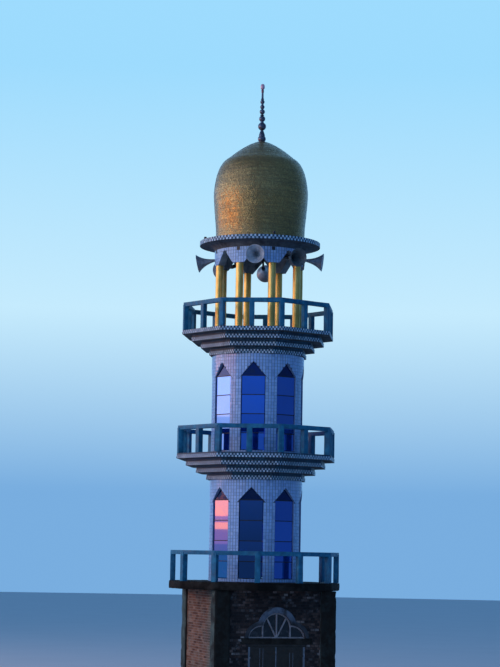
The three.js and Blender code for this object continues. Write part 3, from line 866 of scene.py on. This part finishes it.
def buildDome():
    line, shares = domeByArea()
    footSine = math.sin(math.radians(dome["footLatitude"]))
    bm = freshMesh()
    bmesh.ops.create_icosphere(bm, subdivisions=dome["fineness"], radius=1)
    size = bm.edges[:][0].calc_length() * dome["jitter"]
    for vert in sorted(bm.verts, key=lambda vert: tuple(round(value, 5) for value in vert.co)):
        vert.co += Vector([dice.uniform(-size, size) for _ in range(3)])
        vert.co.normalize()
    cutThrough(bm, (0, 0, footSine), (0, 0, -1), 0.002, True)
    for vert in bm.verts:
        share = min(max((1 - vert.co.z) / (1 - footSine), 0.0), 1.0)
        i = min(max(sum(1 for value in shares if value <= share) - 1, 0), len(shares) - 2)
        spot = line[i].lerp(line[i + 1], (share - shares[i]) / (shares[i + 1] - shares[i]))
        flat = Vector((vert.co.x, vert.co.y))
        flat = flat.normalized() * spot.x if flat.length > 1e-6 else Vector((0, 0))
        vert.co = Vector((flat.x, flat.y, dome["foot"] + spot.y))
    pairTriangles(bm)
    tint = bm.faces.layers.float["tint"]
    for face in bm.faces:
        face[tint] = dice.betavariate(4, 4)
    bm.normal_update()
    leanFaces(layChips(bm, dome["wall"], dome["joint"], dome["relief"]), dome["lean"])
    finishPiece("dome_mosaic", bm, [goldChip, goldGrout], replaced=["dome"])


buildDome()
print("dome covered")


# Lantern columns
compass = ["front", "front_right", "right", "back_right", "back", "back_left", "left", "front_left"]
column = {
    "radius": 0.11,
    "circle": 1.215,
    "low": 10.975,
    "high": 12.91,
    "sides": 36,
    "lengths": 24,
    "bevel": 0.006,
    "wave": 0.002,
}


def buildColumn(i, place):
    bm = freshMesh()
    radius, low, high, lengths = (column[key] for key in ("radius", "low", "high", "lengths"))
    line = [(radius, low + (high - low) * k / lengths) for k in range(lengths + 1)]
    spinProfile(bm, [(0, low), *line, (0, high)], column["sides"])
    bevelSharp(bm, column["bevel"], 60)
    bm.normal_update()
    for vert in bm.verts:
        out = Vector((vert.co.x, vert.co.y, 0)) / radius
        vert.co += out * column["wave"] * noise.noise(vert.co * 5 + Vector((i * 3, 0, 0)))
    bmesh.ops.translate(bm, verts=bm.verts, vec=onCircle(column["circle"], i * circle / len(compass), 0))
    finishPiece(f"{place}_column_shaft", bm, [columnGold], replaced=[f"column_{place}"],
                smoothAngle=35)


for i, place in enumerate(compass):
    buildColumn(i, place)
print("columns built")


# Painted cement railings
railing = {"bevel": 0.009, "cell": 0.25, "waveSize": 0.35, "wave": 0.004}
for name in ("terrace_railing", "lower_railing", "upper_railing"):
    bm = copyNode(name)
    bevelSharp(bm, railing["bevel"], 20, 2)
    cutGrid(bm, railing["cell"])
    roughen(bm, railing["waveSize"], railing["wave"])
    finishPiece(f"{name}_cement", bm, [tealPaint], replaced=[name], smoothAngle=30)
print("railings finished")


# Plain cement: terrace slab, plinth, lintel and corner columns, with broken edges
casting = {"bevel": 0.012, "waveSize": 0.3}
castPieces = {  # node: name, material, cell, wave, chip
    "terrace_slab": ("terrace_slab_cement", darkCement, 0.12, 0.006, 0.03),
    "base_floor": ("base_plinth_cement", darkCement, 0.2, 0.002, 0.012),
    "door_lintel": ("door_lintel_cement", sootyCement, 0.08, 0.004, 0.014),
}
for end in ("front", "back"):
    for side in ("left", "right"):
        castPieces[f"corner_column_{end}_{side}"] = (f"{end}_{side}_pillar", greyCement, 0.07, 0.009, 0.035)
for node, (name, material, cell, wave, chip) in castPieces.items():
    bm = copyNode(node)
    bevelSharp(bm, casting["bevel"], 20)
    cutGrid(bm, cell)
    roughen(bm, casting["waveSize"], wave, chip)
    finishPiece(name, bm, [material], replaced=[node], smoothAngle=35)
print("cement cast")


# Brickwork in running bond, standing proud of its mortar
base = {
    "shift": 0.105,
    "half": 1.775,
    "pillar": 0.45,
    "setback": 0.06,
    "low": 0.10,
    "high": 3.59,
    "doorShift": 0.055,
    "doorHalf": 0.833,
    "lintelLow": 2.106,
    "lintelHigh": 2.271,
    "bearing": 1.033,
    "jambTop": 2.031,
    "archRadius": 0.422,
    "archTop": 2.975,
    "lobeWidth": 0.411,
    "lobeHeight": 0.36,
    "band": 0.07,
}
brickwork = {
    "length": 0.25,
    "header": 0.125,
    "course": 0.075,
    "offset": 0.08,  # every other row starts this share of a brick before the corner, the rest half a brick
    "proud": 0.001,
    "joint": 0.012,
    "relief": 0.006,
    "skin": 0.006,
    "smallest": 0.0012,
    "edge": 0.003,
    "wander": 0.003,
    "jitter": 0.0015,
    "lean": 0.012,
}


def archDistance(x, z):  # how far a point of the front wall lies outside the band round the trefoil
    aside = abs(x - base["shift"] - base["doorShift"])
    rise = max(z - base["archTop"] + base["archRadius"], 0.0)
    arch = math.hypot(aside, rise) - base["archRadius"]
    share = math.hypot((aside - base["archRadius"]) / base["lobeWidth"],
                       (z - base["lintelHigh"]) / base["lobeHeight"])
    return min(arch, (share - 1) * base["lobeHeight"]) - base["band"]


def cutDoorway(bm, length, rise):  # leaves room for the door and for its lintel
    middle = base["shift"] + base["doorShift"]
    for half, low, high in ((base["doorHalf"], base["low"] - 0.01, base["lintelLow"]),
                            (base["bearing"], base["lintelLow"], base["lintelHigh"])):
        left, right = middle - half, middle + half
        for x in (left, right):
            cutFaces(bm, facesWithin(bm, x - length, x + length, low - rise, high), (x, 0, 0), (1, 0, 0))
        for z in (low, high):
            cutFaces(bm, facesWithin(bm, left, right, z - rise, z + rise), (0, 0, z), up)
        dropFaces(bm, facesWithin(bm, left, right, low, high))


def cutArch(bm):  # bricks on the trefoil's outline are cut along it
    def away(face, x=0.0, z=0.0):
        spot = face.calc_center_median()
        return archDistance(spot.x + x, spot.z + z)

    step = 0.001
    for face in bm.faces[:]:
        if len({archDistance(vert.co.x, vert.co.z) > 0 for vert in face.verts}) == 2:
            here = away(face)
            slope = Vector((away(face, x=step) - here, 0, away(face, z=step) - here)).normalized()
            cutFaces(bm, [face], face.calc_center_median() - slope * here, slope)
    dropFaces(bm, [face for face in bm.faces if away(face) < 0])


def brickPanel(name, corner, across, materials, side="length", doorway=False):
    # bricks show their long side or their header
    bm = freshMesh()
    across, length = Vector(across), brickwork[side]
    width = 2 * (base["half"] - base["pillar"])
    low, high = base["low"], base["high"]
    rows = round((high - low) / brickwork["course"])
    rise = (high - low) / rows
    start = Vector((*corner, low)) + across.cross(up) * brickwork["proud"]
    for row in range(rows):
        shift = -length / 2 if row % 2 else -length * brickwork["offset"]
        count = math.ceil((width - shift) / length)
        gridOn(bm, start + across * shift + up * (row * rise), across * (count * length), up * rise, count, 1)
    for point, normal in ((start, -across), (start + across * width, across)):
        cutThrough(bm, point, normal, 0.0001, True)
    if doorway:
        cutDoorway(bm, length, rise)
        cutArch(bm)
    bmesh.ops.remove_doubles(bm, verts=bm.verts, dist=0.0001)
    bricks = layTiles(bm, brickwork["skin"], brickwork["joint"], brickwork["relief"], brickwork["smallest"],
                      brickwork["edge"])
    jitter = brickwork["jitter"]
    for face in bricks:
        step = face.normal * dice.uniform(-1, 1) * brickwork["wander"]
        for vert in face.verts:
            vert.co += step + Vector([dice.uniform(-jitter, jitter) for _ in range(3)])
    leanFaces(bricks, brickwork["lean"])
    finishPiece(name, bm, materials)


def buildBrickwork():
    face = base["half"] - base["setback"]
    end = base["half"] - base["pillar"]
    x = base["shift"]
    brickPanel("front_bricks", (x - end, -face), (1, 0, 0), [sootAndShadeBrick, sootAndShadeMortar], "header", True)
    brickPanel("left_bricks", (x - face, end), (0, -1, 0), [brick, mortar])
    brickPanel("right_bricks", (x + face, -end), (0, 1, 0), [brick, mortar])
    brickPanel("back_bricks", (x + end, face), (-1, 0, 0), [brick, mortar])


buildBrickwork()
print("bricks laid")


# Doorway: plaster band, fanlight, frame and leaves
def doorwayPiece(node, name, materials, bevel, body="tower", extras=None):
    bm = copyNode(node)
    bevelSharp(bm, bevel, 30)
    if extras:
        extras(bm)
    finishPiece(name, bm, materials, body, [node], 30)


leaf = {
    "inset": 0.01,  # the front of the leaves lies this far behind the bricks
    "handleAside": 0.035,
    # bar and feet: half the width, depth, lowest and highest edge, bevel
    "handle": [(0.009, (-0.055, -0.04), 0.96, 1.20, 0.004), (0.0063, (-0.045, 0.001), 0.98, 1.0, 0.002),
               (0.0063, (-0.045, 0.001), 1.16, 1.18, 0.002)],
    "rods": {-1: (0.37, 0.49), 1: (0.485, 0.606)},  # thin pale uprights, as shares of the leaf's width
    "rodWidth": 0.009,
    "rodDepth": (-0.004, 0.002),
    "rodEnds": {-1: (0.12, 0.04), 1: (0.12, 0.16)},
    "cover": (0.03, 0.001),
    "coverDepth": (-0.003, 0.002),
    "coverEnds": 0.01,
    "ribs": 15,
    "ribFoot": 0.28,
    "ribHeight": 0.012,
    "ribPitch": 0.1,
    "ribSpan": (0.12, 0.345),
    "ribDepth": (0.001, 0.013),
    "ribBevel": 0.003,
}


def leafExtras(side):  # -1 is the left leaf, which also has the cover strip and the ribs
    low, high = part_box("door_leaf_left" if side < 0 else "door_leaf_right")
    front = base["setback"] - base["half"] + leaf["inset"]
    grip = high.x - leaf["handleAside"] if side < 0 else low.x + leaf["handleAside"]
    blocks = []
    for half, depth, foot, top, bevel in leaf["handle"]:
        blocks.append((grip - half, grip + half, depth, foot, top, bevel, 0))
    rise, drop = leaf["rodEnds"][side]
    for share in leaf["rods"][side]:
        x = low.x + (high.x - low.x) * share
        blocks.append((x, x + leaf["rodWidth"], leaf["rodDepth"], low.z + rise, high.z - drop, 0.0, 1))
    if side < 0:
        left, right = (high.x - aside for aside in leaf["cover"])
        ends = leaf["coverEnds"]
        blocks.append((left, right, leaf["coverDepth"], low.z + ends, high.z - ends, 0.0, 1))
        left, right = (low.x + aside for aside in leaf["ribSpan"])
        for i in range(leaf["ribs"]):
            z = leaf["ribFoot"] + i * leaf["ribPitch"]
            blocks.append((left, right, leaf["ribDepth"], z, z + leaf["ribHeight"], leaf["ribBevel"], 0))

    def add(bm):
        for left, right, (near, far), foot, top, bevel, material in blocks:
            addBlock(bm, (left, front + near, foot), (right, front + far, top), None, bevel, material)
    return add


plaster = {"cell": 0.06, "waveSize": 0.12, "wave": 0.006, "chip": 0.012}


def roughPlaster(bm):
    cutGrid(bm, plaster["cell"])
    roughen(bm, plaster["waveSize"], plaster["wave"], plaster["chip"])


def darkHead(bm):  # only the jambs are pale
    cutThrough(bm, (0, 0, base["jambTop"]), up)
    for face in bm.faces:
        face.material_index = int(face.calc_center_median().z > base["jambTop"])


sheets = [doorSheet, jambSteel]
doorwayPiece("arch_surround", "arch_plaster_band", [archPlaster], 0.008, extras=roughPlaster)
doorwayPiece("fanlight_frame", "fanlight_bars", [paleSteel], 0.005)
doorwayPiece("door_frame", "door_frame_steel", [jambSteel, doorSheet], 0.003, extras=darkHead)
doorwayPiece("door_leaf_left", "left_leaf_sheet", sheets, 0.003, "left_leaf", leafExtras(-1))
doorwayPiece("door_leaf_right", "right_leaf_sheet", sheets, 0.003, "right_leaf", leafExtras(1))
print("doorway finished")


# Horn loudspeakers in the arches of the ring beam
horns = {
    "places": {  # turn about Z, height, and how far each looks aside and down
        "left": (-112.5, 13.19, 0, 11.5),
        "front": (-20.5, 13.155, -2, 7),
        "front_right": (26, 13.14, -14, 8),
        "right": (67.5, 13.18, 0, 7.5),
        "back": (157.5, 13.075, 0, 5),
        "back_left": (205.5, 13.08, -5.5, 5),
    },
    # this horn's lip and inside take the darker paint: painted shade
    "paintedShade": "front_right",
    "mouth": 0.262,
    "throat": 0.036,
    "heel": 0.24,
    "length": 0.76,
    "flare": 16,
    "back": 1.08,
    "sheet": 0.006,
    "lip": [(0.004, 0.002), (0.003, 0.008), (-0.004, 0.008), (-0.007, 0.003)],  # from the edge of the mouth
    "core": [(0.024, 0.03), (0.012, 0.028), (0, 0.028)],  # above the heel
    "driver": [(0, 0), (0.0348, 0), (0.04756, 0.012), (0.058, 0.03), (0.058, 0.055), (0.05394, 0.06),
               (0.05394, 0.075), (0.058, 0.08), (0.058, 0.17), (0.0464, 0.19), (0.0348, 0.212), (0.028, 0.25),
               (0, 0.25)],
    "steps": (36, 24),  # round the bell and round the driver
    "strap": (0.06, 0.008, 13.36),  # width, thickness, upper end
    "strapDrop": 0.029,
    "strapBevel": 0.002,
    "inside": 1.0887,
    "bolt": {"radius1": 0.009, "radius2": 0.009, "depth": 0.01, "segments": 6},
    "boltAside": 0.018,
    "boltInset": 0.03,
    "boltProud": 0.004,
}


def hornProfile():
    heel, length, mouth, throat = (horns[key] for key in ("heel", "length", "mouth", "throat"))
    shares = [i / horns["flare"] for i in range(horns["flare"] + 1)]
    bell = [(throat * (mouth / throat) ** share, heel + (length - heel) * share) for share in shares]
    lip = [(mouth + aside, length + rise) for aside, rise in horns["lip"]]
    inside = [(radius - horns["sheet"], height) for radius, height in bell[:1:-1]]
    return bell + lip + inside + [(radius, heel + rise) for radius, rise in horns["core"]]


def addStrap(bm, height, upright):  # holds the horn under the ring beam
    width, thick, top = horns["strap"]
    inside, low = -horns["inside"], height - horns["strapDrop"]
    addBlock(bm, (-width / 2, inside, low), (width / 2, inside + thick, top), upright, horns["strapBevel"], 1)
    for z in (top - horns["boltInset"], low + horns["boltInset"]):
        for x in (-horns["boltAside"], horns["boltAside"]):
            place = upright @ Matrix.Translation((x, inside + thick + horns["boltProud"], z))
            place = place @ aroundX(math.pi / 2)
            made = bmesh.ops.create_cone(bm, cap_ends=True, matrix=place, **horns["bolt"])
            for face in facesOn(made["verts"]):
                face.material_index = 1


def buildHorn(name, turn, height, aside, down):
    bm = freshMesh()
    upright = aroundZ(math.radians(turn))
    place = upright @ Matrix.Translation((0, -horns["back"], height)) @ aroundZ(math.radians(aside))
    place = place @ aroundX(math.radians(90 + down))
    for face in spinProfile(bm, hornProfile(), horns["steps"][0]):
        spot = face.calc_center_median()
        inward = face.normal.x * spot.x + face.normal.y * spot.y < 0
        # the lip and the inside take the paler paints: painted light
        face.material_index = 2 if spot.z > horns["length"] else 3 * inward
    bmesh.ops.transform(bm, matrix=place, verts=bm.verts)
    spinProfile(bm, horns["driver"], horns["steps"][1], place, 1)
    addStrap(bm, height, upright)
    # the horn in shade gets the darker paint, painted shade; the others get the paler paints, painted light
    lip, inside = (paintedShadeHorn, paintedShadeHorn) if name == horns["paintedShade"] else (hornLipPaintedLight, hornInsidePaintedLight)
    finishPiece(f"horn_{name}_bell", bm, [hornPaint, hornDark, lip, inside],
                replaced=[f"horn_{name}"], smoothAngle=40)


for name, place in horns["places"].items():
    buildHorn(name, *place)
print("horns built")


# Finial with its lamp
finial = {
    "steps": 32,
    "foot": 16.66,
    "collar": [(0, 0), (0.09, 0), (0.094, 0.03), (0.108, 0.05), (0.116, 0.075), (0.118, 0.1), (0.116, 0.125),
               (0.106, 0.148), (0.09, 0.16), (0.092, 0.178), (0.09, 0.2), (0.082, 0.24), (0.07, 0.275),
               (0.056, 0.31), (0.042, 0.35)],
    "balls": [(0.120, 17.133, 0.050), (0.092, 17.361, 0.044), (0.078, 17.572, 0.038), (0.066, 17.716, 0.036),
              (0.064, 17.868, 0.036)],  # radius, height and the neck's radius
    "ballSteps": 12,
    "discAfter": 1,  # the disc sits above this ball, counted from 0
    "disc": [(0.026, 17.45), (0.056, 17.458), (0.062, 17.469), (0.056, 17.48), (0.026, 17.488)],
    "stem": [(0.048, 17.94), (0.038, 17.965), (0.032, 17.99), (0.030, 18.145), (0, 18.147)],
    "lamp": [(0, 18.145), (0.032, 18.147), (0.038, 18.16), (0.038, 18.225), (0.03, 18.238), (0.026, 18.245),
             (0.044, 18.255), (0.058, 18.275), (0.062, 18.31), (0.060, 18.35), (0.052, 18.38),
             (0.036, 18.403), (0, 18.41)],
}


def ballPoints(radius, height, neck):
    start, steps = math.asin(neck / radius), finial["ballSteps"]
    angles = [start + (math.pi - 2 * start) * i / steps for i in range(steps + 1)]
    return [(radius * math.sin(angle), height - radius * math.cos(angle)) for angle in angles]


def buildFinial():
    bm = freshMesh()
    points = [(radius, finial["foot"] + height) for radius, height in finial["collar"]]
    for i, ball in enumerate(finial["balls"]):
        points += ballPoints(*ball)
        if i == finial["discAfter"]:
            points += finial["disc"]
    spinProfile(bm, points + finial["stem"], finial["steps"])
    spinProfile(bm, finial["lamp"], finial["steps"], material=1)
    finishPiece("finial_balls_and_lamp", bm, [finialMetal, lampGlass], replaced=["finial"],
                smoothAngle=40)


buildFinial()
print("finial turned")


# Small dark boxes at the top of the ring beam, over each column, and lamps on the slab's edge
fittings = {
    "box": (0.10, 0.012, 0.10),
    "boxGap": 0.004,
    "boxDrop": 0.006,
    "boxBevel": 0.006,
    "lamp": [(0, 0), (0.034, 0), (0.034, 0.02), (0.02, 0.03), (0.02, 0.045), (0.04, 0.06), (0.044, 0.085),
             (0.034, 0.112), (0, 0.12)],
    "lampSteps": 16,
    "lampTurns": (-95, -3, 80, 157),
    "lampCircle": 1.63,
}


def buildFittings():
    bm = freshMesh()
    width, depth, height = fittings["box"]
    top, front = ring["high"] - fittings["boxDrop"], -ring["radius"] - fittings["boxGap"]
    for i in range(len(compass)):
        turn = aroundZ(i * circle / len(compass))
        low = (-width / 2, front - depth, top - height)
        addBlock(bm, low, (width / 2, front, top), turn, fittings["boxBevel"])
    for degrees in fittings["lampTurns"]:
        stand = Matrix.Translation((0, -fittings["lampCircle"], slab["high"]))
        spinProfile(bm, fittings["lamp"], fittings["lampSteps"], aroundZ(math.radians(degrees)) @ stand)
    finishPiece("ring_boxes_and_slab_lamps", bm, [hornDark], smoothAngle=35)


buildFittings()
print("small fittings added")


# Solids that keep their own shape get their finish here
nodeFinish = {
    **dict.fromkeys(["brick_wall_left", "brick_wall_right", "brick_wall_back"], mortar),
    **dict.fromkeys(["brick_wall_front_left", "brick_wall_front_right", "brick_wall_over_door"], sootAndShadeMortar),
    "fanlight_glass": darkGlass,
    "lower_balcony": soffitCement,
    "upper_balcony": soffitCement,
    "ring_beam": innerPlaster,
    "dome_slab": slabCement,
}
for name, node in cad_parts.items():
    finish = nodeFinish.get(name, levelGrout if "_wall_" in name else None)
    if finish:
        for materialSlot in node.material_slots:
            materialSlot.material = finish


# Pale floor and plain soft light
# bands of low evening light: lowest and highest edge, radiance
duskBands = [(3.0, 4.7, (0.05, 0.19, 0.20)), (4.7, 5.1, (0.50, 0.28, 0.31)), (5.1, 5.64, (1.4, 0.40, 0.38)),
             (5.64, 5.97, (7.4, 1.2, 0.32)), (5.97, 6.18, (1.7, 0.42, 0.40)), (6.18, 7.1, (7.4, 1.15, 0.30)),
             (7.15, 8.1, (0.30, 0.42, 0.28)), (8.1, 11.0, (1.3, 1.15, 0.75)), (11.0, 14.5, (2.8, 1.84, 1.08))]
studio = {
    "floorRadius": 160,
    "sky": (0.10, 0.28, 0.60, 1),
    "horizon": (0.045, 0.09, 0.11, 1),
    "horizonSpan": (0.0, 0.12),
    "zenith": (0.06, 0.15, 0.32, 1),
    "zenithSpan": (0.3, 0.8),
    "far": (0.25, 0.58, 1.02, 1),
    "farAzimuth": 163,
    "shade": (0.045, 0.115, 0.24, 1),
    "shadeAzimuth": 80,
    "sideSpan": (0.3, 0.95),
    "backdrop": [(0.03, (0.19, 0.42, 0.74)), (0.12, (0.56, 0.83, 0.99)), (0.24, (0.34, 0.71, 0.99))],
    # soft boxes: azimuth, distance, width, lowest and highest edge, radiance
    "boxes": {
        "side": (-88, 36, 60, 19, 48, (0.50, 0.54, 0.70)),
        "strip": (-66, 36, 50, 16.2, 19, (2.1, 1.95, 1.7)),
        "side_low": (-62, 36, 24, 5, 13, (0.6, 0.62, 0.7)),
        **{f"dusk_{i}": (-117.7, 39, 9, *band) for i, band in enumerate(duskBands, 1)},
        "glow": (-118, 40, 56, 16.5, 30, (1.0, 0.95, 0.9)),
        "sunset_1": (-92, 41, 27, 12, 16.3, (5.4, 1.7, 0.22)),
        "sunset_2": (-117.7, 41, 9.4, 14.8, 16.3, (5.4, 1.7, 0.22)),
        "sunset_3": (-135, 41, 14, 12, 16.3, (3.6, 1.2, 0.22)),
    },
}


def addSoftBox(name, azimuth, distance, width, low, high, radiance):
    data = bpy.data.lights.new(name, "AREA")
    data.shape = "RECTANGLE"
    data.size = width
    data.size_y = high - low
    strength = max(radiance)
    data.energy = strength * math.pi * width * (high - low)
    data.color = [value / strength for value in radiance]
    box = addObject(name, data)
    box.location = onCircle(distance, math.radians(azimuth), (low + high) / 2)
    box.rotation_euler = (math.pi / 2, 0, math.radians(azimuth))
    box.visible_camera = False


def buildStudio():
    bm = bmesh.new()
    bmesh.ops.create_circle(bm, cap_ends=True, segments=96, radius=studio["floorRadius"])
    mesh = meshFrom("floor", bm)
    material, tree, shader = newMaterial("pale floor", Roughness=0.9)
    cloud = effect(tree, grain, 3.0, 0.3)[1]
    wire(tree, shader, ramp(tree, cloud, [(0.0, (0.62, 0.64, 0.66)), (1.0, (0.68, 0.70, 0.72))]))
    mesh.materials.append(material)
    floor = addObject("floor", mesh)

    world = bpy.data.worlds.new("studio")
    scene.world = world
    world.use_nodes = True
    tree = world.node_tree
    backdrop = tree.nodes["Background"]
    outward = put(tree, "TexCoord").outputs["Generated"]
    height = along(tree, outward, "Z")
    tree.links.new(ramp(tree, height, studio["backdrop"]), backdrop.inputs["Color"])
    share = remap(tree, height, *studio["horizonSpan"], 0.0, 1.0)
    color = mixColors(tree, share, studio["horizon"], studio["sky"])
    color = mixColors(tree, remap(tree, height, *studio["zenithSpan"], 0.0, 1.0), color, studio["zenith"])
    for side in ("shade", "far"):
        toward = onCircle(1, math.radians(studio[f"{side}Azimuth"]), 0)
        share = put(tree, "VectorMath", {0: outward, 1: toward}, operation="DOT_PRODUCT").outputs["Value"]
        color = mixColors(tree, remap(tree, share, *studio["sideSpan"], 0.0, 1.0), color, studio[side])
    sky = put(tree, "Background", {"Color": color})
    seen = put(tree, "LightPath").outputs["Is Camera Ray"]
    both = put(tree, "MixShader", {0: seen, 1: sky.outputs[0], 2: backdrop.outputs[0]})
    tree.links.new(both.outputs[0], tree.nodes["World Output"].inputs["Surface"])
    for name, values in studio["boxes"].items():
        addSoftBox(name, *values)
    scene.view_settings.view_transform = "Standard"


buildStudio()
print("studio lit")
